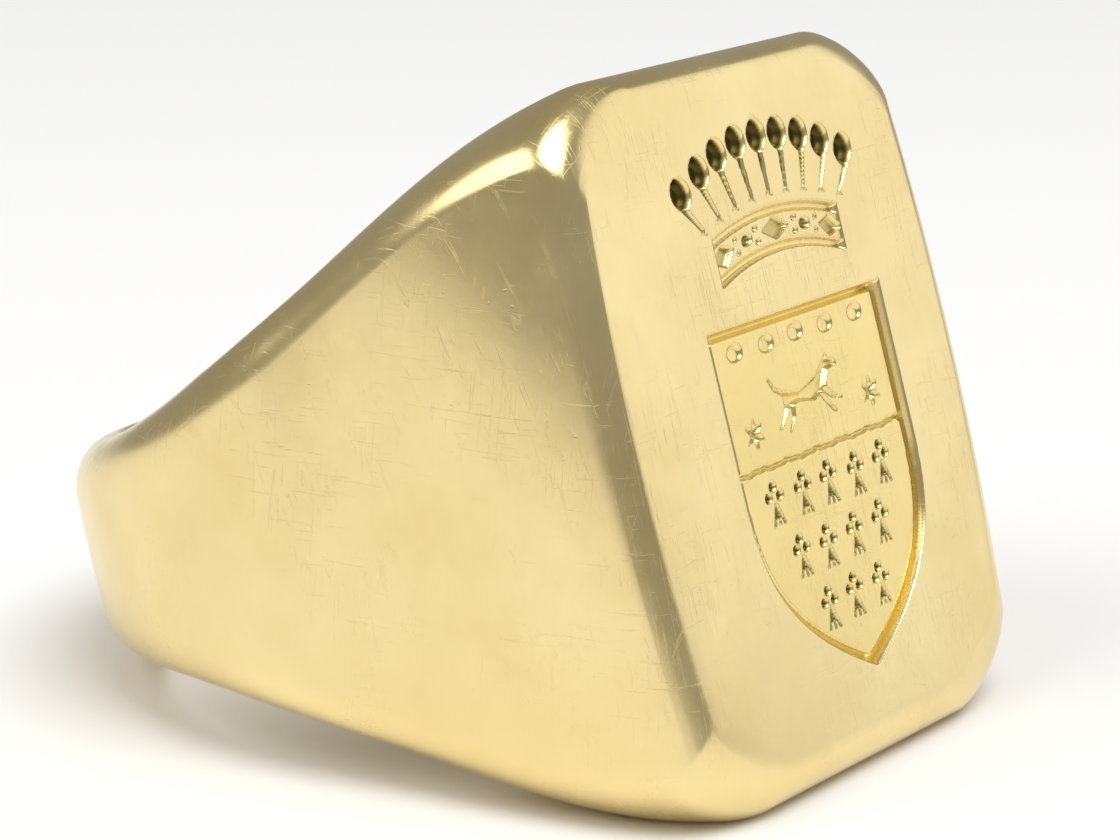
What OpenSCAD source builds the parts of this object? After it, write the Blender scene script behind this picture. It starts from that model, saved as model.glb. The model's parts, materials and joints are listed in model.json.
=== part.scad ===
// Heavy gold signet ring with an engraved rectangular table, lying on its side.
// The table plate, the two shoulders and the shank are separate soldered pieces.
// Ring frame: X runs across the table, -Y is out of the table, Z is the finger axis.
// The assembly is then tipped forward until table and shank both touch the floor.

/* [Finger hole] */
// inside diameter of the finger hole
bore_d = 16.8; // [15.6:0.1:19]

/* [Shank] */
// thickness of the shank opposite the table
shank_t = 1.5; // [1.2:0.05:2]
// width of the shank opposite the table, along the finger
shank_w = 5.9; // [4.6:0.1:8]
// how late the sides start to flare, going from shank to table
flare = 3.5; // [2.6:0.1:4.2]
// how soon the flare levels off below the table
level_off = 1.66; // [1.4:0.02:1.8]
// outward bulge of the shoulders, seen along the finger
shoulder_bulge = 0.35; // [0.1:0.05:0.5]

/* [Table] */
// size of the table across the finger, at its corners
table_w = 14.2; // [12.5:0.1:15]
// size of the table along the finger
table_h = 18.5; // [15:0.1:20]
// height of the table above the finger hole
table_rise = 2.9; // [2.6:0.05:3.4]
// thickness of the engraved plate above its solder seam
plate_t = 1.6; // [1.2:0.05:1.7]
// length cut off each table corner, across the finger
corner_w = 3; // [2:0.1:3.4]
// length cut off each table corner, along the finger
corner_h = 1.9; // [1.5:0.1:2.6]
// rounding of the table's top and bottom edges
soft_edge = 1.1; // [0.6:0.05:1.2]
// outward bow of the table's long edges
long_bow = 0.7; // [0.2:0.05:0.8]

/* [Engraving] */
// depth of the shield's floor below the table
field_depth = 0.18; // [0.1:0.02:0.3]
// depth of the cut lines, pearls and spots below the table
cut_depth = 0.34; // [0.32:0.02:0.5]
// sideways shift of the engraving on the table
crest_shift = 0.6; // [-0.6:0.05:0.6]

/* [Hidden] */
$fn = 48;

gold = [0.86, 0.76, 0.48];
bore_r = bore_d / 2;
shank_r = bore_r + shank_t;
table_n = bore_r + table_rise;
seam_n = table_n - plate_t;
crisp_edge = 0.6;       // rounding of the table's long edges
corner_fade = 3;        // how fast the cut corners shrink below the table
crown = 0.12;           // bulge across the shank's outer face
round_w = 1.4;          // edge rounding of the band along the finger
round_t = 1.15;         // edge rounding of the band through its thickness
cut_power = 1.55;       // corner curve at the table, a softly rounded cut
round_power = 2;        // corner curve of the band, an ellipse
core_r = bore_r - 1.2;  // inner end of the blanks, inside the bore cutter

corner_steps = 8;
side_steps = 4;
edge_steps = 4;
level_steps = 18;
shank_steps = 40;

// ---- outline of the body at a height n above the finger axis ----

function rise(n) = max(0, min(1, n / table_n));

// the shoulders run straight from the table's edge to touch the shank's circle
touch_a = atan2(table_n, table_w / 2) - acos(shank_r / norm([table_w / 2, table_n]));
touch_n = shank_r * sin(touch_a);
touch_t = shank_r * cos(touch_a);
function shoulder_t(s) =
    touch_t + (table_w / 2 - touch_t) * s + shoulder_bulge * bump(s);
function bump(s) = s * s * (1 - s) * 27 / 4;
function reach(n) =
    n <= 0 ? shank_r
    : n < touch_n ? sqrt(shank_r * shank_r - n * n)
    : shoulder_t((n - touch_n) / (table_n - touch_n));

function spread(x) = pow(1 - pow(1 - max(0, min(1, x)), level_off), flare);
function half_w(n) =
    (shank_w + (table_h - shank_w) * spread((n + shank_r) / (table_n + shank_r))) / 2;
function fade(n) = pow(rise(n), corner_fade);
function cut_t(n) = round_t + (corner_w - round_t) * fade(n);
function cut_w(n) = round_w + (corner_h - round_w) * fade(n);
function power(n) = round_power + (cut_power - round_power) * fade(n);
function bow(n) = crown + (long_bow - crown) * pow(rise(n), 2);

// quarter outline from the middle of a side to the middle of a long edge
function quarter(a, b, ct, cw, m) = concat(
    [[0, b]],
    [for (i = [0:corner_steps])
        let (q = 90 * i / corner_steps)
        [a - ct * (1 - pow(sin(q), 2 / m)), b - cw * (1 - pow(cos(q), 2 / m))]],
    [for (i = [1:side_steps]) [a, (b - cw) * (1 - i / side_steps)]]
);

// outward bow of the long edges, strongest half way along them
function bowed(pts, a, b, d) = [
    for (p = pts) [p[0] * (1 + d / a * (1 - pow(p[1] / b, 2))), p[1]]
];

function half_outline(n, in_t, in_w) =
    let (
        a = reach(n) - in_t,
        b = half_w(n) - in_w,
        q = bowed(quarter(a, b, cut_t(n), cut_w(n), power(n)), a, b, bow(n))
    )
    concat(q, [for (i = [len(q) - 2:-1:0]) [q[i][0], -q[i][1]]]);

function full_outline(n, in_t, in_w) =
    let (h = half_outline(n, in_t, in_w), last = len(h) - 2)
    concat([for (i = [1:last]) h[i]], [for (i = [last:-1:1]) [-h[i][0], h[i][1]]]);

// one half with its middle cut away up to the bore's core
function shoulder_outline(n) =
    let (
        h = half_outline(n, 0, 0),
        last = len(h) - 1,
        x = n < core_r ? sqrt(core_r * core_r - n * n) : 0
    )
    concat([[x, h[0][1]]], [for (i = [1:last - 1]) h[i]], [[x, h[last][1]]]);

// one level as points of the ring frame
function at_level(pts, n) = [for (p = pts) [p[0], -n, p[1]]];

// ---- lengthwise section of the shank at angle q below the finger axis ----

function shank_outline(q) =
    let (
        n = -shank_r * sin(q),
        b = half_w(n),
        c = quarter(shank_r, b, round_t, round_w, round_power),
        s = bowed([for (p = c) if (p[0] > core_r) p], shank_r, b, crown)
    )
    concat(
        [[core_r, b]],
        s,
        [for (i = [len(s) - 2:-1:0]) [s[i][0], -s[i][1]]],
        [[core_r, -b]]
    );
function shank_ring(q) = [
    for (p = shank_outline(q)) [p[0] * cos(q), p[0] * sin(q), p[1]]
];

// ---- the natural lie: table edge and shank edge both on the floor ----

function edge_drop(r, n) = n > table_n - r ? r - sqrt(r * r - pow(n - table_n + r, 2)) : 0;
edge_levels = [for (i = [0:edge_steps]) table_n - soft_edge * (1 - cos(90 * i / edge_steps))];
head_levels = concat(edge_levels, [for (i = [level_steps:-1:0]) seam_n * i / level_steps]);
head_low = [for (n = head_levels) [-n, -half_w(n) + edge_drop(soft_edge, n)]];
shank_low = [for (p = shank_outline(90)) [p[0], p[1]]];

function height(p, tip) = -p[0] * sin(tip) + p[1] * cos(tip);
function lowest(pts, tip) =
    let (z = min([for (p = pts) height(p, tip)]))
    [for (p = pts) if (height(p, tip) == z) p][0];
function settle(tip, turns) =
    let (f = lowest(head_low, tip), k = lowest(shank_low, tip))
    turns == 0 ? tip : settle(atan2(k[1] - f[1], k[0] - f[0]), turns - 1);
tip = settle(15, 8);

low_z = height(lowest(head_low, tip), tip);
// front and back limits of the tipped ring, taken over the profile in the middle plane
profile = concat(head_low, [for (p = head_low) [p[0], -p[1]]], shank_low);
function forward(p) = p[0] * cos(tip) + p[1] * sin(tip);
mid_y = (min([for (p = profile) forward(p)]) + max([for (p = profile) forward(p)])) / 2;

module at_rest() {
    translate([0, -mid_y, -low_z]) rotate([-tip, 0, 0]) children();
}

// ---- solids ----

// skin through equal point loops, each clockwise seen from the first one's outer side
module loft(rings) {
    m = len(rings[0]);
    k = len(rings);
    polyhedron(
        points = [for (r = rings) each r],
        faces = concat(
            [[for (i = [0:m - 1]) i]],
            [[for (i = [m - 1:-1:0]) (k - 1) * m + i]],
            [for (j = [0:k - 2]) for (i = [0:m - 1])
                let (a = j * m + i, b = j * m + (i + 1) % m)
                each [[a, a + m, b], [b, a + m, b + m]]]
        ),
        convexity = 4
    );
}

module bore_cutter() {
    translate([0, 0, -table_h]) cylinder(r = bore_r, h = 2 * table_h, $fn = 96);
}

module plate_blank() {
    loft([for (n = concat(edge_levels, seam_n + (table_n - soft_edge - seam_n) / 2, seam_n))
        at_level(full_outline(n, edge_drop(crisp_edge, n), edge_drop(soft_edge, n)), n)]);
}

module shoulder_blank() {
    loft([for (i = [level_steps:-1:0])
        let (n = seam_n * i / level_steps)
        at_level(shoulder_outline(n), n)]);
}

module shoulder() {
    difference() {
        shoulder_blank();
        bore_cutter();
    }
}

// ---- engraving, drawn flat: X across the table, Y along the finger ----

shield_half = 4.03;
shield_top = 2.47;
shield_turn = -1.3;
shield_tip = -6.83;
border = 0.26;
field_steps = 14;

function shield_x(y) =
    shield_half * (1 - pow(max(0, (shield_turn - y) / (shield_turn - shield_tip)), 3));
function shield_side() = [
    for (i = [0:field_steps])
        let (y = shield_turn + (shield_tip - shield_turn) * (1 - pow(1 - i / field_steps, 2)))
        [shield_x(y), y]
];
function mirror_x(pts) = [for (i = [len(pts) - 1:-1:0]) [-pts[i][0], pts[i][1]]];

module shield(shrink) {
    k = (shield_half - shrink) / shield_half;
    side = concat([[shield_half, shield_top]], shield_side());
    whole = concat(side, mirror_x([for (i = [0:len(side) - 2]) side[i]]));
    translate([0, (shield_top + shield_tip) / 2 * (1 - k)]) scale(k) polygon(whole);
}

// ermine fur: rows of spots, each three dots over a forked tail
spot_pitch = 1.27;
spot_rows = [5, 4, 3];
row_top = -1.62;
row_step = 1.47;
dot_r = 0.15;

module ermine_spot() {
    for (p = [[0, 0], [-0.24, -0.26], [0.24, -0.26]]) translate(p) circle(r = dot_r, $fn = 16);
    polygon([[0, -0.34], [0.27, -0.92], [0.08, -0.8], [0, -0.97], [-0.08, -0.8], [-0.27, -0.92]]);
}

module ermine() {
    for (row = [0:len(spot_rows) - 1])
        for (i = [0:spot_rows[row] - 1])
            translate([(i - (spot_rows[row] - 1) / 2) * spot_pitch, row_top - row_step * row])
                ermine_spot();
}

// plain charges of the upper field: roundels, a running hound, two stars
chief_y = 1.82;
roundel_r = 0.26;
star_r = 0.5;

module star(r) {
    polygon([for (i = [0:11]) let (s = i % 2 == 0 ? r : r * 0.38) [s * sin(30 * i), s * cos(30 * i)]]);
}

module bar(a, b, w) {
    d = b - a;
    translate(a) rotate(atan2(d[1], d[0])) translate([0, -w / 2]) square([norm(d), w]);
}

module hound() {
    polygon([[-1.15, 0.42], [-0.4, 0.3], [0.45, 0.52], [0.95, 0.86], [1.4, 0.78], [1.45, 0.62],
        [1.05, 0.55], [0.75, 0.12], [0.2, -0.08], [-0.5, 0], [-1.05, -0.02]]);
    bar([-1.05, 0.1], [-1.6, -0.42], 0.15);
    bar([-0.85, 0.1], [-1.15, -0.6], 0.15);
    bar([0.62, 0.15], [1.3, -0.25], 0.14);
    bar([0.45, 0.1], [0.95, -0.5], 0.14);
    bar([-1.1, 0.32], [-1.7, 0.7], 0.1);
}

module chief() {
    for (i = [-2:2]) translate([i * 1.4, chief_y]) circle(r = roundel_r, $fn = 20);
    translate([0, 0.1]) hound();
    for (s = [-1, 1]) translate([s * 2.75, -0.25]) star(star_r);
}

fess_y = -1.14;
fess_w = 0.16;

module shield_cuts() {
    difference() {
        shield(0);
        shield(border);
    }
    translate([-shield_half + border, fess_y - fess_w / 2])
        square([2 * (shield_half - border), fess_w]);
    chief();
    ermine();
}

// coronet: nine pearls on stems above a curved jewelled band
pearls = 9;
pearl_pitch = 0.94;
pearl_r = 0.37;
pearl_y = 6.87;
pearl_arc = 7.64;
stem_w = 0.13;
stem_foot = 5.42;
foot_spread = 0.84;
band_arc_r = 10;
band_top = 5.05;
band_bottom = 4;
band_half = 2.85;
groove_w = 0.2;

function pearl_at(i) =
    let (x = (i - (pearls - 1) / 2) * pearl_pitch)
    [x, pearl_y - x * x / (2 * pearl_arc)];
function foot_at(i) =
    let (x = (i - (pearls - 1) / 2) * pearl_pitch * foot_spread)
    [x, stem_foot - x * x / (4 * pearl_arc)];

module arc_line(y) {
    intersection() {
        translate([0, y - band_arc_r]) difference() {
            circle(r = band_arc_r, $fn = 180);
            circle(r = band_arc_r - groove_w, $fn = 180);
        }
        translate([-band_half, 0]) square([2 * band_half, shield_tip + 14]);
    }
}

module lozenge(w, h) {
    polygon([[0, h / 2], [w / 2, 0], [0, -h / 2], [-w / 2, 0]]);
}

module coronet() {
    for (i = [0:pearls - 1]) {
        translate(pearl_at(i)) circle(r = pearl_r, $fn = 24);
        bar(foot_at(i), pearl_at(i), stem_w);
    }
    arc_line(band_top);
    arc_line(band_bottom);
    jewel_y = (band_top + band_bottom - groove_w) / 2;
    translate([0, jewel_y]) lozenge(1.3, 0.6);
    for (s = [-1, 1]) {
        translate([s * 1.4, jewel_y - 0.1]) circle(r = 0.17, $fn = 16);
        translate([s * 2.35, jewel_y - 0.28]) lozenge(0.9, 0.55);
    }
}

// a flat drawing sunk into the table to the given depth
module sunk(depth) {
    over = 0.5;
    fit = min(table_w / 14.2, table_h / 18.5);
    rotate([90, 0, 0]) translate([crest_shift, 0, table_n - depth])
        linear_extrude(height = depth + over) scale(fit) children();
}

// ---- the pieces ----

module table() {
    color(gold) at_rest() difference() {
        plate_blank();
        sunk(field_depth) shield(border / 2);
        sunk(cut_depth) shield_cuts();
        sunk(cut_depth) coronet();
    }
}

module shoulder_right() {
    color(gold) at_rest() shoulder();
}

module shoulder_left() {
    color(gold) at_rest() mirror([1, 0, 0]) shoulder();
}

module shank() {
    color(gold) at_rest() difference() {
        loft([for (i = [0:shank_steps]) shank_ring(180 * i / shank_steps)]);
        bore_cutter();
    }
}

table();
shoulder_left();
shoulder_right();
shank();
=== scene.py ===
import json
import math
import bpy
import numpy as np
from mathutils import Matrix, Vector


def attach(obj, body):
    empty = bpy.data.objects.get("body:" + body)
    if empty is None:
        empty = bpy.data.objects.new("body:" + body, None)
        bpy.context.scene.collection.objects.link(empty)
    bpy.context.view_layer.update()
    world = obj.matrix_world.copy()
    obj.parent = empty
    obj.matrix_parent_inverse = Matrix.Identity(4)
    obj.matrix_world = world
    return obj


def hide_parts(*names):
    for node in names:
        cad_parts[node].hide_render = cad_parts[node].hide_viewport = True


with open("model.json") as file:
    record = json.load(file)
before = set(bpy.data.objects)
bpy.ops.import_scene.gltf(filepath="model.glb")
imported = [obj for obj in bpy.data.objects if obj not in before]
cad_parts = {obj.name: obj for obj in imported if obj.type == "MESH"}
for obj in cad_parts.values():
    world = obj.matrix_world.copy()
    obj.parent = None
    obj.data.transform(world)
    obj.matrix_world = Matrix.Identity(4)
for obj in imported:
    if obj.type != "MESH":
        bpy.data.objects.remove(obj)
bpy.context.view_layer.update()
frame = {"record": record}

MM = 0.001
SEED = 11

# ---- driving dimensions in mm, the same as the CAD's ----
BORE_R = 8.4
SHANK_T = 1.5
SHANK_W = 5.9
FLARE = 3.5
LEVEL_OFF = 1.66
BULGE = 0.35
TABLE_W = 14.2
TABLE_H = 18.5
TABLE_RISE = 2.9
PLATE_T = 1.6
CORNER_W = 3.0
CORNER_H = 1.9
SOFT_EDGE = 1.1
CRISP_EDGE = 0.6
LONG_BOW = 0.7
CREST_SHIFT = 0.6
CORNER_FADE = 3
CROWN = 0.12
ROUND_W = 1.4
ROUND_T = 1.15
CUT_POWER = 1.55
ROUND_POWER = 2.0
SHANK_R = BORE_R + SHANK_T
TABLE_N = BORE_R + TABLE_RISE
SEAM_N = TABLE_N - PLATE_T
RIM_R = 0.3  # worn rim of the finger hole

# ---- the ring frame (t across, n out of the table, w along the finger) in the row frame ----
bore = next(m for m in frame["record"]["mounts"] if m["name"] == "finger_bore")
AXIS_W = np.array(bore["axis"]) / np.linalg.norm(bore["axis"])
AXIS_T = np.array([1.0, 0.0, 0.0])
AXIS_N = np.cross(AXIS_T, AXIS_W)
CENTRE = np.array(bore["pos_m"])


def place(p):
    """Ring-frame points (t, n, w) in mm to the row frame in metres."""
    p = np.asarray(p)
    return CENTRE + MM * (p[..., 0:1] * AXIS_T + p[..., 1:2] * AXIS_N + p[..., 2:3] * AXIS_W)


def turn(v):
    """Ring-frame directions to the row frame."""
    v = v[..., 0:1] * AXIS_T + v[..., 1:2] * AXIS_N + v[..., 2:3] * AXIS_W
    return v / np.linalg.norm(v, axis=-1, keepdims=True)


# ---- outline of the body at a height n above the finger axis ----
def rise(n):
    return max(0.0, n / TABLE_N)


touch = math.atan2(TABLE_N, TABLE_W / 2) - math.acos(SHANK_R / math.hypot(TABLE_W / 2, TABLE_N))
TOUCH_T, TOUCH_N = SHANK_R * math.cos(touch), SHANK_R * math.sin(touch)


def reach(n):
    if n <= 0:
        return SHANK_R
    if n < TOUCH_N:
        return math.sqrt(SHANK_R**2 - n * n)
    s = (n - TOUCH_N) / (TABLE_N - TOUCH_N)
    return TOUCH_T + (TABLE_W / 2 - TOUCH_T) * s + BULGE * s * s * (1 - s) * 27 / 4


def half_w(n):
    x = max(0.0, min(1.0, (n + SHANK_R) / (TABLE_N + SHANK_R)))
    return (SHANK_W + (TABLE_H - SHANK_W) * (1 - (1 - x) ** LEVEL_OFF) ** FLARE) / 2


def blend(low, high, n):
    return low + (high - low) * rise(n) ** CORNER_FADE


def bow(n):
    return CROWN + (LONG_BOW - CROWN) * rise(n) ** 2


def edge_drop(r, n):
    return r - math.sqrt(max(0.0, r * r - (n - TABLE_N + r) ** 2)) if n > TABLE_N - r else 0.0


FLAT_STEPS, CORNER_STEPS, SIDE_STEPS = 14, 26, 26


def half_outline(n, in_t=0.0, in_w=0.0, inner=0.0):
    """(t, w) points from (inner, b) round the long edge to (inner, -b)."""
    a, b = reach(n) - in_t, half_w(n) - in_w
    ct, cw = blend(ROUND_T, CORNER_W, n), blend(ROUND_W, CORNER_H, n)
    m = blend(ROUND_POWER, CUT_POWER, n)
    f = np.linspace(0, 1, FLAT_STEPS, endpoint=False)
    q = np.radians(90 * np.linspace(0, 1, CORNER_STEPS, endpoint=False))
    s = np.linspace(0, 1, SIDE_STEPS + 1)
    corner_t = a - ct * (1 - np.sin(q) ** (2 / m))
    t = np.concatenate([inner + (a - ct - inner) * f, corner_t, np.full(len(s), a)])
    w = np.concatenate([np.full(len(f), b), b - cw * (1 - np.cos(q) ** (2 / m)), (b - cw) * (1 - s)])
    t = t * (1 + bow(n) / a * (1 - (w / b) ** 2))
    t, w = np.concatenate([t, t[-2::-1]]), np.concatenate([w, -w[-2::-1]])
    return np.stack([t, w], 1)


def full_outline(n, in_t=0.0, in_w=0.0):
    h = half_outline(n, in_t, in_w)
    return np.concatenate([h[1:-1], np.stack([-h[-2:0:-1, 0], h[-2:0:-1, 1]], 1)])


# ---- meshes ----
def new_piece(name, verts, faces, normals=None, attribute=None):
    mesh = bpy.data.meshes.new(name)
    mesh.from_pydata(verts.tolist(), [], faces)
    mesh.update()
    mesh.polygons.foreach_set("use_smooth", [True] * len(mesh.polygons))
    if attribute is not None:
        mesh.attributes.new("cut", "FLOAT", "POINT").data.foreach_set("value", attribute)
    if normals is not None:
        mesh.normals_split_custom_set_from_vertices(normals.tolist())
    ob = bpy.data.objects.new(name, mesh)
    bpy.context.scene.collection.objects.link(ob)
    return ob


def loft_faces(rows, cols, flip):
    """Quads between closed loops, and an end cap on the first and last."""
    out = []
    for j in range(rows - 1):
        for i in range(cols):
            a, b = j * cols + i, j * cols + (i + 1) % cols
            out.append((a, b, b + cols, a + cols) if flip else (a, a + cols, b + cols, b))
    first, last = list(range(cols)), list(range((rows - 1) * cols, rows * cols))
    out.append(tuple(first[::-1] if flip else first))
    out.append(tuple(last if flip else last[::-1]))
    return out


def grid_normals(rings, before, after):
    """Normals of closed loops from their neighbours; before and after are the loops a hair to each side."""
    along = np.roll(rings, -1, 1) - np.roll(rings, 1, 1)
    n = np.cross(along, after - before)
    return n / np.maximum(np.linalg.norm(n, axis=-1, keepdims=True), 1e-12)


HAIR = 1e-3
WALL_STEPS = 10
RIM_STEPS = 5


def closed_section(h, x_in, rim):
    """Half outline h, whose ends lie at the bore wall, closed by the wall and two worn rims."""
    b = h[0, 1]
    q = np.radians(90 * np.arange(1, RIM_STEPS + 1) / RIM_STEPS)
    rim_t, rim_w = x_in + rim * (1 - np.sin(q)), -b + rim * (1 - np.cos(q))
    wall = np.linspace(-b + rim, b - rim, WALL_STEPS + 1)[1:-1]
    t = np.concatenate([rim_t, np.full(len(wall), x_in), rim_t[::-1]])
    w = np.concatenate([rim_w, wall, -rim_w[::-1]])
    return np.concatenate([h, np.stack([t, w], 1)])


def shoulder_ring(n):
    if n < BORE_R:
        x = math.sqrt(BORE_R**2 - n * n)
        rim = RIM_R * min(1.0, x / (0.6 * BORE_R))
    else:
        x, rim = 0.0, 0.0
    s = closed_section(half_outline(n, inner=x + rim), x, max(rim, 1e-4))
    return np.stack([s[:, 0], np.full(len(s), n), s[:, 1]], 1)


def shank_ring(q):
    """Lengthwise section at q radians from the +t side, through the back."""
    n = -SHANK_R * math.sin(q)
    h = half_outline(n, inner=BORE_R + RIM_R)
    # the band keeps one radius, so only its width and edges follow the outline
    s = closed_section(h, BORE_R, RIM_R)
    return np.stack([s[:, 0] * math.cos(q), -s[:, 0] * math.sin(q), s[:, 1]], 1)


def lofted(name, ring, stations, flip, mirrored=False):
    rings = np.array([ring(s) for s in stations])
    near = np.array([ring(s - HAIR) for s in stations])
    far = np.array([ring(s + HAIR) for s in stations])
    nrm = grid_normals(rings, near, far)
    if flip:
        nrm = -nrm
    if mirrored:
        rings, nrm = rings * (-1, 1, 1), nrm * (-1, 1, 1)
    faces = loft_faces(len(stations), rings.shape[1], flip != mirrored)
    return new_piece(name, place(rings.reshape(-1, 3)), faces, turn(nrm.reshape(-1, 3)))


bore_levels = [BORE_R * math.sin(math.radians(a)) for a in np.linspace(0, 90, 61)]
seam_levels = list(np.linspace(BORE_R, SEAM_N, 9))[1:]
shoulder_levels = bore_levels[:-1] + [BORE_R] + seam_levels
right = lofted("shoulder_right_gold", shoulder_ring, shoulder_levels, False)
left = lofted("shoulder_left_gold", shoulder_ring, shoulder_levels, False, mirrored=True)
shank = lofted("shank_gold", shank_ring, np.linspace(0, math.pi, 121), True)

# ---- engraving: depth below the table, from distances to each cut ----
FIELD_DEPTH = 0.17
LINE_DEPTH = 0.2
SHIELD_HALF, SHIELD_TOP, SHIELD_TURN, SHIELD_TIP = 4.03, 2.47, -1.3, -6.83


def d_circle(x, y, cx, cy, r):
    return np.hypot(x - cx, y - cy) - r


def d_oval(x, y, cx, cy, rx, ry):
    k = np.hypot((x - cx) / rx, (y - cy) / ry)
    return (k - 1) * min(rx, ry)


def d_bar(x, y, a, b, w0, w1):
    """Tapered stroke from a to b, w0 wide at a and w1 at b."""
    ax, ay = b[0] - a[0], b[1] - a[1]
    s = np.clip(((x - a[0]) * ax + (y - a[1]) * ay) / (ax * ax + ay * ay), 0, 1)
    return np.hypot(x - a[0] - s * ax, y - a[1] - s * ay) - (w0 + (w1 - w0) * s) / 2


def d_poly(x, y, pts):
    pts = np.asarray(pts, float)
    best = np.full(x.shape, 1e9)
    inside = np.zeros(x.shape, bool)
    for (x0, y0), (x1, y1) in zip(pts, np.roll(pts, -1, 0)):
        ex, ey = x1 - x0, y1 - y0
        s = np.clip(((x - x0) * ex + (y - y0) * ey) / (ex * ex + ey * ey), 0, 1)
        best = np.minimum(best, np.hypot(x - x0 - s * ex, y - y0 - s * ey))
        if y0 != y1:
            inside ^= ((y0 > y) != (y1 > y)) & (x < (x1 - x0) * (y - y0) / (y1 - y0) + x0)
    return np.where(inside, -best, best)


def cut(d, deep, slope):
    """A sloping-sided cut of the given depth; d is the distance to its edge, below zero inside."""
    z = np.clip(-d * slope / deep, 0, 1)
    return deep * (z * (2 - z))


def shield_points(steps=40):
    y = np.linspace(SHIELD_TURN, SHIELD_TIP, steps)
    x = SHIELD_HALF * (1 - ((SHIELD_TURN - y) / (SHIELD_TURN - SHIELD_TIP)) ** 3)
    side = [(SHIELD_HALF, SHIELD_TOP)] + list(zip(x, y))
    return side + [(-px, py) for px, py in side[-2::-1]]


def star_points(cx, cy, r, n=6):
    return [
        (cx + (r if i % 2 == 0 else r * 0.36) * math.sin(math.pi * i / n),
         cy + (r if i % 2 == 0 else r * 0.36) * math.cos(math.pi * i / n))
        for i in range(2 * n)
    ]


HOUND = [(-1.15, 0.42), (-0.8, 0.34), (-0.4, 0.3), (0.1, 0.42), (0.45, 0.52), (0.7, 0.72), (0.95, 0.86),
         (1.02, 0.98), (1.1, 0.86), (1.42, 0.74), (1.45, 0.62), (1.05, 0.55), (0.85, 0.3), (0.75, 0.12),
         (0.2, -0.08), (-0.5, 0.04), (-1.05, -0.04), (-1.22, 0.16)]
HOUND_LIMBS = [((-1.05, 0.12), (-1.3, -0.2), 0.2, 0.12), ((-1.3, -0.2), (-1.6, -0.46), 0.12, 0.07),
               ((-0.85, 0.1), (-0.9, -0.28), 0.18, 0.1), ((-0.9, -0.28), (-1.18, -0.6), 0.1, 0.06),
               ((0.62, 0.2), (0.98, -0.1), 0.18, 0.1), ((0.98, -0.1), (1.38, -0.24), 0.1, 0.06),
               ((0.45, 0.15), (0.72, -0.22), 0.17, 0.1), ((0.72, -0.22), (1.0, -0.52), 0.1, 0.06),
               ((-1.15, 0.36), (-1.5, 0.52), 0.1, 0.07), ((-1.5, 0.52), (-1.72, 0.84), 0.07, 0.04)]


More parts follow.
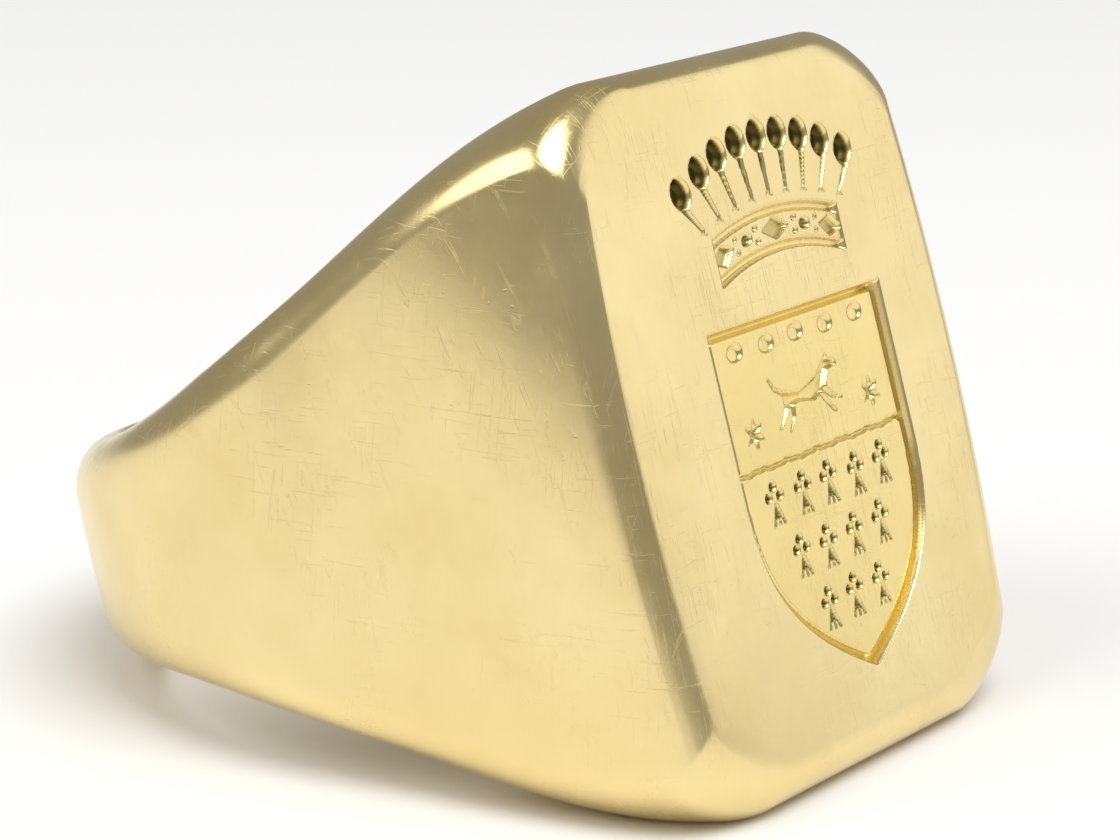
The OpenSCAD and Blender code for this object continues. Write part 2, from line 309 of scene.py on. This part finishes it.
def engraving(t, w):
    """Depth in mm, and how dark the cut is painted at (t, w): dirt and painted shade, darker the deeper the
    cut.
    """
    rng = np.random.default_rng(SEED)
    x, y = t - CREST_SHIFT, w
    edge = d_poly(x, y, shield_points())
    depth = cut(edge, FIELD_DEPTH, 1.6)
    # painted shade and dirt: the shield's field is painted a little darker as it sinks
    cut_dirt_and_shade = 0.16 * np.clip(depth / FIELD_DEPTH, 0, 1)

    # shade is how dark a cut's hollow is painted, dirt and painted shade, growing with the cut's depth
    def add(d, deep, slope, shade=0.0):
        nonlocal depth, cut_dirt_and_shade
        c = cut(d, deep, slope)
        depth = depth + np.maximum(c - np.maximum(depth - FIELD_DEPTH, 0), 0)
        cut_dirt_and_shade = np.maximum(cut_dirt_and_shade, shade * np.clip(2 * c / deep, 0, 1))

    # border of the shield: a deep graver line just inside its edge
    add(np.abs(edge + 0.14) - 0.11, LINE_DEPTH, 2.2, 0.35)
    # fess line, slightly unsteady
    wobble = 0.02 * np.sin(5 * x) + 0.012 * np.sin(13 * x + 1)
    inner = np.where(edge < -0.1, 0, 1)
    add(np.abs(y + 1.14 + wobble) - 0.07 + inner, 0.12, 2.0, 0.45)
    # roundels in chief
    for i in range(-2, 3):
        jx, jy = rng.uniform(-0.03, 0.03, 2)
        add(d_oval(x, y, 1.4 * i + jx, 1.82 + jy, 0.34, 0.24), 0.1, 0.9, 0.15)
    add(d_poly(x, y - 0.1, HOUND), 0.15, 1.1, 0.35)
    for a, b, w0, w1 in HOUND_LIMBS:
        add(d_bar(x, y - 0.1, a, b, w0, w1), 0.1, 1.6, 0.4)
    for s in (-1, 1):
        add(d_poly(x, y, star_points(2.75 * s, -0.25, 0.46)), 0.12, 1.5, 0.5)
    # ermine spots
    for row, count in enumerate((5, 4, 3)):
        for i in range(count):
            jx, jy = rng.uniform(-0.05, 0.05, 2)
            cx, cy = (i - (count - 1) / 2) * 1.27 + jx, -1.62 - 1.47 * row + jy
            for dx, dy in ((0, 0), (-0.24, -0.26), (0.24, -0.26)):
                ox, oy = rng.uniform(-0.02, 0.02, 2)
                add(d_oval(x, y, cx + dx + ox, cy + dy + oy, 0.15, 0.135), 0.16, 1.8, 0.9)
            for foot, fw in ((-0.25, 0.05), (0.0, 0.05), (0.24, 0.05)):
                add(d_bar(x, y, (cx, cy - 0.42), (cx + foot, cy - 0.98), 0.06, fw), 0.1, 2.2, 0.8)
            tail = [(cx, cy - 0.32), (cx + 0.15, cy - 0.86), (cx, cy - 0.78), (cx - 0.15, cy - 0.86)]
            add(d_poly(x, y, tail), 0.13, 2.0, 0.8)
    # coronet: pearls, stems, band
    for i in range(9):
        px = (i - 4) * 0.94
        py = 6.87 - px * px / 15.28
        jx, jy = rng.uniform(-0.02, 0.02, 2)
        lean = 0.1 * px / 3.76
        u, v = x - px - jx - lean * (y - py), y - py - jy
        width = 0.41 * (1 - 0.12 * np.clip(np.abs(v) / 0.42, 0, 1) ** 2)
        k = np.hypot(u / width, v / 0.43)
        d = (k - 1) * 0.37
        add(d, 0.3, 1.6, 1.0)
        fx = px * 0.84
        add(d_bar(x, y, (px, py - 0.38), (fx, 5.42 - fx * fx / 20), 0.19, 0.07), 0.14, 2.0, 0.85)
        foot = d_bar(x, y, (fx - 0.1, 5.36 - fx * fx / 20), (fx + 0.1, 5.3 - fx * fx / 20), 0.07, 0.05)
        add(foot, 0.05, 1.5, 0.2)
    arc = np.hypot(x, y + 4.95)
    ends = np.abs(x) - 2.88
    add(np.maximum(np.abs(arc - 9.9) - 0.12, ends), 0.17, 2.0, 0.12)
    add(np.maximum(np.abs(arc - 8.98) - 0.12, ends), 0.17, 2.0, 0.12)
    add(np.maximum(np.abs(arc - 9.44) - 0.38, ends), 0.06, 1.5, 0.0)
    mid = 9.44
    jewels = ((0, 0.62, "l"), (-1.35, 0.24, "o"), (1.35, 0.24, "o"), (-2.5, 0.5, "l"), (2.5, 0.5, "l"))
    for s, r, kind in jewels:
        a = s / mid
        jx, jy = mid * math.sin(a), mid * math.cos(a) - 4.95
        u = (x - jx) * math.cos(a) - (y - jy) * math.sin(a)
        v = (x - jx) * math.sin(a) + (y - jy) * math.cos(a)
        if kind == "l":
            d = (np.abs(u) / r + np.abs(v) / 0.3 - 1) * 0.27
            add(np.maximum(d, ends), 0.16, 1.4, 0.5)
        else:
            add(d_oval(u, v, 0, 0, r, 0.15), 0.14, 1.4, 0.75)
    for s in (-0.92, -0.85, 0.85, 0.92, -1.85, 1.85):
        for v in (-0.17, 0.17):
            a = s / mid
            add(d_circle(x, y, (mid + v) * math.sin(a), (mid + v) * math.cos(a) - 4.95, 0.07), 0.08, 1.6, 0.6)
    return depth, cut_dirt_and_shade


# ---- the table plate: an engraved window, a plain margin, rolled edges and a wall ----
NT, NW = 214, 352
WIN_T = (CREST_SHIFT - 4.25, CREST_SHIFT + 4.25)
WIN_W = (-7.02, 7.3)
gt = np.linspace(*WIN_T, NT)
gw = np.linspace(*WIN_W, NW)
T, W = np.meshgrid(gt, gw)
depth, cut_dirt_and_shade = engraving(T, W)

# clockwise walk round the window's border, starting at its top left
border = (
    [(NW - 1, i) for i in range(NT)]
    + [(j, NT - 1) for j in range(NW - 2, -1, -1)]
    + [(0, i) for i in range(NT - 2, -1, -1)]
    + [(j, 0) for j in range(1, NW - 1)]
)
edge_t = np.array([gt[i] for j, i in border])
edge_w = np.array([gw[j] for j, i in border])

top_loop = full_outline(TABLE_N, CRISP_EDGE, SOFT_EDGE)
ang_loop = np.unwrap(-np.arctan2(top_loop[:, 1], top_loop[:, 0]))
ang_edge = np.unwrap(-np.arctan2(edge_w, edge_t))
idx = np.arange(len(top_loop) + 1)
span = np.append(ang_loop, ang_loop[0] + 2 * math.pi)
lo = span[0]
pos = np.interp((ang_edge - lo) % (2 * math.pi) + lo, span, idx)


def on_loop(n, in_t, in_w):
    p = full_outline(n, in_t, in_w)
    p = np.vstack([p, p[:1]])
    return np.stack([np.interp(pos, idx, p[:, 0]), np.interp(pos, idx, p[:, 1])], 1)


MARGIN_STEPS, ROLL_STEPS, PLATE_STEPS = 7, 9, 5
rings = []
outer = on_loop(TABLE_N, CRISP_EDGE, SOFT_EDGE)
inner_ring = np.stack([edge_t, edge_w], 1)
for k in range(1, MARGIN_STEPS + 1):
    f = k / MARGIN_STEPS
    p = inner_ring * (1 - f) + outer * f
    rings.append(np.stack([p[:, 0], np.full(len(p), TABLE_N), p[:, 1]], 1))
roll = [
    TABLE_N - SOFT_EDGE * (1 - math.cos(math.radians(90 * k / ROLL_STEPS)))
    for k in range(1, ROLL_STEPS + 1)
]
roll = sorted(set(roll + [TABLE_N - CRISP_EDGE * v for v in (0.02, 0.12, 0.35, 0.7)]), reverse=True)
wall = list(np.linspace(TABLE_N - SOFT_EDGE, SEAM_N, PLATE_STEPS + 1))[1:]
for n in roll + wall:
    p = on_loop(n, edge_drop(CRISP_EDGE, n), edge_drop(SOFT_EDGE, n))
    rings.append(np.stack([p[:, 0], np.full(len(p), n), p[:, 1]], 1))

grid = np.stack([T, TABLE_N - depth, W], 2).reshape(-1, 3)
verts = np.concatenate([grid] + rings)
# the cut attribute carries how dark the engraving is painted: dirt and painted shade in its hollows
attr = np.concatenate([cut_dirt_and_shade.reshape(-1), np.zeros(len(verts) - cut_dirt_and_shade.size)])
faces = []
for j in range(NW - 1):
    for i in range(NT - 1):
        a = j * NT + i
        faces.append((a, a + 1, a + 1 + NT, a + NT))
K = len(border)
loop_ids = [[j * NT + i for j, i in border]]
loop_ids += [list(range(NW * NT + r * K, NW * NT + (r + 1) * K)) for r in range(len(rings))]
for a, b in zip(loop_ids, loop_ids[1:]):
    for i in range(K):
        k = (i + 1) % K
        faces.append((a[i], a[k], b[k], b[i]))
faces.append(tuple(loop_ids[-1]))

table = new_piece("table_gold", place(verts), faces, None, attr)
# the wall's normals follow the whole body's surface, so that the seam under the plate doesn't show
me = table.data
vn = np.zeros(len(verts) * 3)
me.vertex_normals.foreach_get("vector", vn)
vn = vn.reshape(-1, 3)


def wall_normals(n):
    p = on_loop(n, 0, 0)
    lo_p, hi_p = on_loop(n - HAIR, 0, 0), on_loop(n + HAIR, 0, 0)
    dense = full_outline(n)
    tan = np.roll(dense, -1, 0) - np.roll(dense, 1, 0)
    tan = np.vstack([tan, tan[:1]])
    a = np.stack([np.interp(pos, idx, tan[:, 0]), np.zeros(len(p)), np.interp(pos, idx, tan[:, 1])], 1)
    b = np.stack([hi_p[:, 0] - lo_p[:, 0], np.full(len(p), 2 * HAIR), hi_p[:, 1] - lo_p[:, 1]], 1)
    v = np.cross(a, b)
    out = np.sign((v[:, 0] * p[:, 0] + v[:, 2] * p[:, 1]).sum())
    return turn(v * out)


first_wall = NW * NT + (MARGIN_STEPS + len(roll)) * K
for r, n in enumerate(wall):
    vn[first_wall + r * K : first_wall + (r + 1) * K] = wall_normals(n)
me.normals_split_custom_set_from_vertices(vn.tolist())


# ---- gold: colours of the graver's shallow, bright cuts and of its deep ones, darkened with dirt and painted shade ----
SHALLOW_CUT = (0.88, 0.70, 0.26, 1)
# dark of the deep cuts: dirt and painted shade in the hollows
DEEP_CUT_DIRT_AND_SHADE = (0.10, 0.075, 0.02, 1)


def gold(name, engraved):
    mat = bpy.data.materials.new(name)
    mat.use_nodes = True
    nt = mat.node_tree
    N, L = nt.nodes, nt.links
    bsdf = N["Principled BSDF"]
    bsdf.inputs["Metallic"].default_value = 1.0
    co_node = N.new("ShaderNodeTexCoord")

    def noise(scale, detail, rough, vector=None, distortion=0.0):
        n = N.new("ShaderNodeTexNoise")
        n.inputs["Scale"].default_value = scale
        n.inputs["Detail"].default_value = detail
        n.inputs["Roughness"].default_value = rough
        n.inputs["Distortion"].default_value = distortion
        L.new(vector or co_node.outputs["Object"], n.inputs["Vector"])
        return n.outputs["Fac"]

    def ramp(fac, stops):
        r = N.new("ShaderNodeValToRGB")
        el = r.color_ramp.elements
        while len(el) < len(stops):
            el.new(0.5)
        for e, (p, c) in zip(el, stops):
            e.position = p
            e.color = (*c, 1) if isinstance(c, tuple) else (c, c, c, 1)
        L.new(fac, r.inputs["Fac"])
        return r.outputs["Color"]

    def math_node(op, a, b, clamp=False):
        m = N.new("ShaderNodeMath")
        m.operation = op
        m.use_clamp = clamp
        for s, v in ((0, a), (1, b)):
            if isinstance(v, (int, float)):
                m.inputs[s].default_value = v
            else:
                L.new(v, m.inputs[s])
        return m.outputs[0]

    def stretched(rot, scale):
        mp = N.new("ShaderNodeMapping")
        mp.inputs["Rotation"].default_value = rot
        mp.inputs["Scale"].default_value = scale
        L.new(co_node.outputs["Object"], mp.inputs["Vector"])
        return mp.outputs["Vector"]

    # colour: pale yellow gold, a little warmer and duller in patches
    patch = noise(260, 4, 0.55)
    tint = ramp(patch, [(0.3, (0.81, 0.645, 0.300)), (0.7, (0.89, 0.735, 0.375))])
    # hairline scratches in three directions, and tiny pits
    scratches = None
    for rot, scale, cut_at in (
        ((0.35, 0.25, 0.55), (17000, 520, 520), 0.63),
        ((1.15, 0.75, 2.10), (15000, 700, 700), 0.64),
        ((0.25, 1.35, 1.15), (560, 16000, 560), 0.64),
        ((0.80, 0.50, 1.45), (14000, 620, 620), 0.65),
        ((2.10, 0.30, 0.85), (640, 640, 15000), 0.65),
    ):
        s = ramp(noise(1.0, 3, 0.6, stretched(rot, scale), 0.9), [(cut_at, 0.0), (cut_at + 0.05, 1.0)])
        scratches = s if scratches is None else math_node("MAXIMUM", scratches, s)
    worn = ramp(noise(330, 3, 0.6), [(0.42, 0.15), (0.6, 1.0)])
    scratches = math_node("MULTIPLY", scratches, worn)
    pits = ramp(noise(5200, 2, 0.5), [(0.70, 0.0), (0.76, 1.0)])
    marks = math_node("MULTIPLY", pits, ramp(noise(420, 2, 0.5), [(0.5, 0.0), (0.62, 1.0)]))
    rough = ramp(noise(700, 5, 0.65), [(0.3, 0.17), (0.7, 0.25)])
    rough = math_node("ADD", rough, math_node("MULTIPLY", scratches, 0.12), True)
    colour = tint
    if engraved:
        # the cut attribute paints the shallow cuts a deeper yellow and the deep ones dark with dirt and
        # painted shade
        at = N.new("ShaderNodeAttribute")
        at.attribute_name = "cut"
        shallow = ramp(at.outputs["Fac"], [(0.0, 0.0), (0.22, 0.8)])
        # deep cuts mixed toward the dark colour: painted shade and dirt, darker the deeper the cut
        deep = ramp(at.outputs["Fac"], [(0.35, 0.0), (0.9, 1.0)])
        for amount, tone in ((shallow, SHALLOW_CUT), (deep, DEEP_CUT_DIRT_AND_SHADE)):
            mix = N.new("ShaderNodeMix")
            mix.data_type = "RGBA"
            L.new(amount, mix.inputs[0])
            L.new(colour, mix.inputs[6])
            mix.inputs[7].default_value = tone
            colour = mix.outputs[2]
        rough = math_node("ADD", rough, math_node("MULTIPLY", at.outputs["Fac"], 0.2), True)
    L.new(colour, bsdf.inputs["Base Color"])
    L.new(rough, bsdf.inputs["Roughness"])
    height = math_node("ADD", math_node("MULTIPLY", scratches, -0.5), math_node("MULTIPLY", marks, -1.0))
    height = math_node("ADD", height, math_node("MULTIPLY", noise(2600, 4, 0.6), 0.35))
    bump = N.new("ShaderNodeBump")
    bump.inputs["Strength"].default_value = 0.24
    bump.inputs["Distance"].default_value = 0.00001
    L.new(height, bump.inputs["Height"])
    L.new(bump.outputs["Normal"], bsdf.inputs["Normal"])
    return mat


band_gold = gold("band_gold", False)
table_gold = gold("table_gold", True)
for ob, node, mat, slot_name in (
    (table, "table", table_gold, "table_gold"),
    (right, "shoulder_right", band_gold, "band_gold"),
    (left, "shoulder_left", band_gold, "band_gold"),
    (shank, "shank", band_gold, "band_gold"),
):
    ob.data.materials.append(mat)
    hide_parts(node)
    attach(ob, "root")

# ---- camera: angles in degrees, distances in metres ----
CAM_AZ, CAM_EL, CAM_ROLL = -55.04, 15.18, 1.255
CAM_DIST = 0.1046
LENS_MM, SENSOR_MM = 125.903571, 36
AIM_RIGHT, AIM_UP = 0.00271, 0.00127
a, e = math.radians(CAM_AZ), math.radians(CAM_EL)
look = Vector((math.sin(a) * math.cos(e), -math.cos(a) * math.cos(e), math.sin(e)))
side = Vector((math.cos(a), math.sin(a), 0))
up = look.cross(side)
cam_data = bpy.data.cameras.new("camera")
cam_data.lens = LENS_MM
cam_data.sensor_width = SENSOR_MM
cam_data.clip_start = 0.001
cam = bpy.data.objects.new("camera", cam_data)
cam.location = Vector(CENTRE) + look * CAM_DIST + side * AIM_RIGHT + up * AIM_UP
cam.rotation_euler = (math.pi / 2 - e, 0, a)
cam.rotation_euler.rotate_axis("Z", math.radians(CAM_ROLL))
bpy.context.scene.collection.objects.link(cam)
bpy.context.scene.camera = cam


# ---- studio: an even, slightly dim room, three soft round lamps and a plain pale floor ----
ROOM_LIGHT = 0.34
FLOOR_HALF = 0.6
FLOOR_TONE = 0.96
world = bpy.data.worlds.new("studio")
world.use_nodes = True
world.node_tree.nodes["Background"].inputs["Color"].default_value = (1.0, 0.99, 0.97, 1)
world.node_tree.nodes["Background"].inputs["Strength"].default_value = ROOM_LIGHT
bpy.context.scene.world = world

floor_mesh = bpy.data.meshes.new("floor")
floor_mesh.from_pydata(
    [(x * FLOOR_HALF, y * FLOOR_HALF, 0) for x, y in ((-1, -1), (1, -1), (1, 1), (-1, 1))],
    [],
    [(0, 1, 2, 3)],
)
floor = bpy.data.objects.new("floor", floor_mesh)
bpy.context.scene.collection.objects.link(floor)
floor_mat = bpy.data.materials.new("floor")
floor_mat.use_nodes = True
floor_bsdf = floor_mat.node_tree.nodes["Principled BSDF"]
floor_bsdf.inputs["Base Color"].default_value = (FLOOR_TONE, FLOOR_TONE, FLOOR_TONE, 1)
floor_bsdf.inputs["Roughness"].default_value = 0.9
floor_mesh.materials.append(floor_mat)


def lamp(name, az, el, dist, size, watts):
    az, el = math.radians(az), math.radians(el)
    d = Vector((math.sin(az) * math.cos(el), -math.cos(az) * math.cos(el), math.sin(el)))
    light = bpy.data.lights.new(name, "AREA")
    light.shape = "DISK"
    light.size = size
    light.energy = watts
    ob = bpy.data.objects.new(name, light)
    ob.location = d * dist
    ob.rotation_euler = d.to_track_quat("Z", "Y").to_euler()
    bpy.context.scene.collection.objects.link(ob)


# azimuth and elevation in degrees, distance and diameter in metres, power in watts
lamp("soft_top", -20, 68, 0.45, 0.36, 1.30)
lamp("soft_left", -120, 42, 0.50, 0.40, 0.80)
lamp("soft_right", 58, 24, 0.50, 0.44, 0.37)

scene = bpy.context.scene
scene.view_settings.view_transform = "Standard"
scene.view_settings.look = "None"
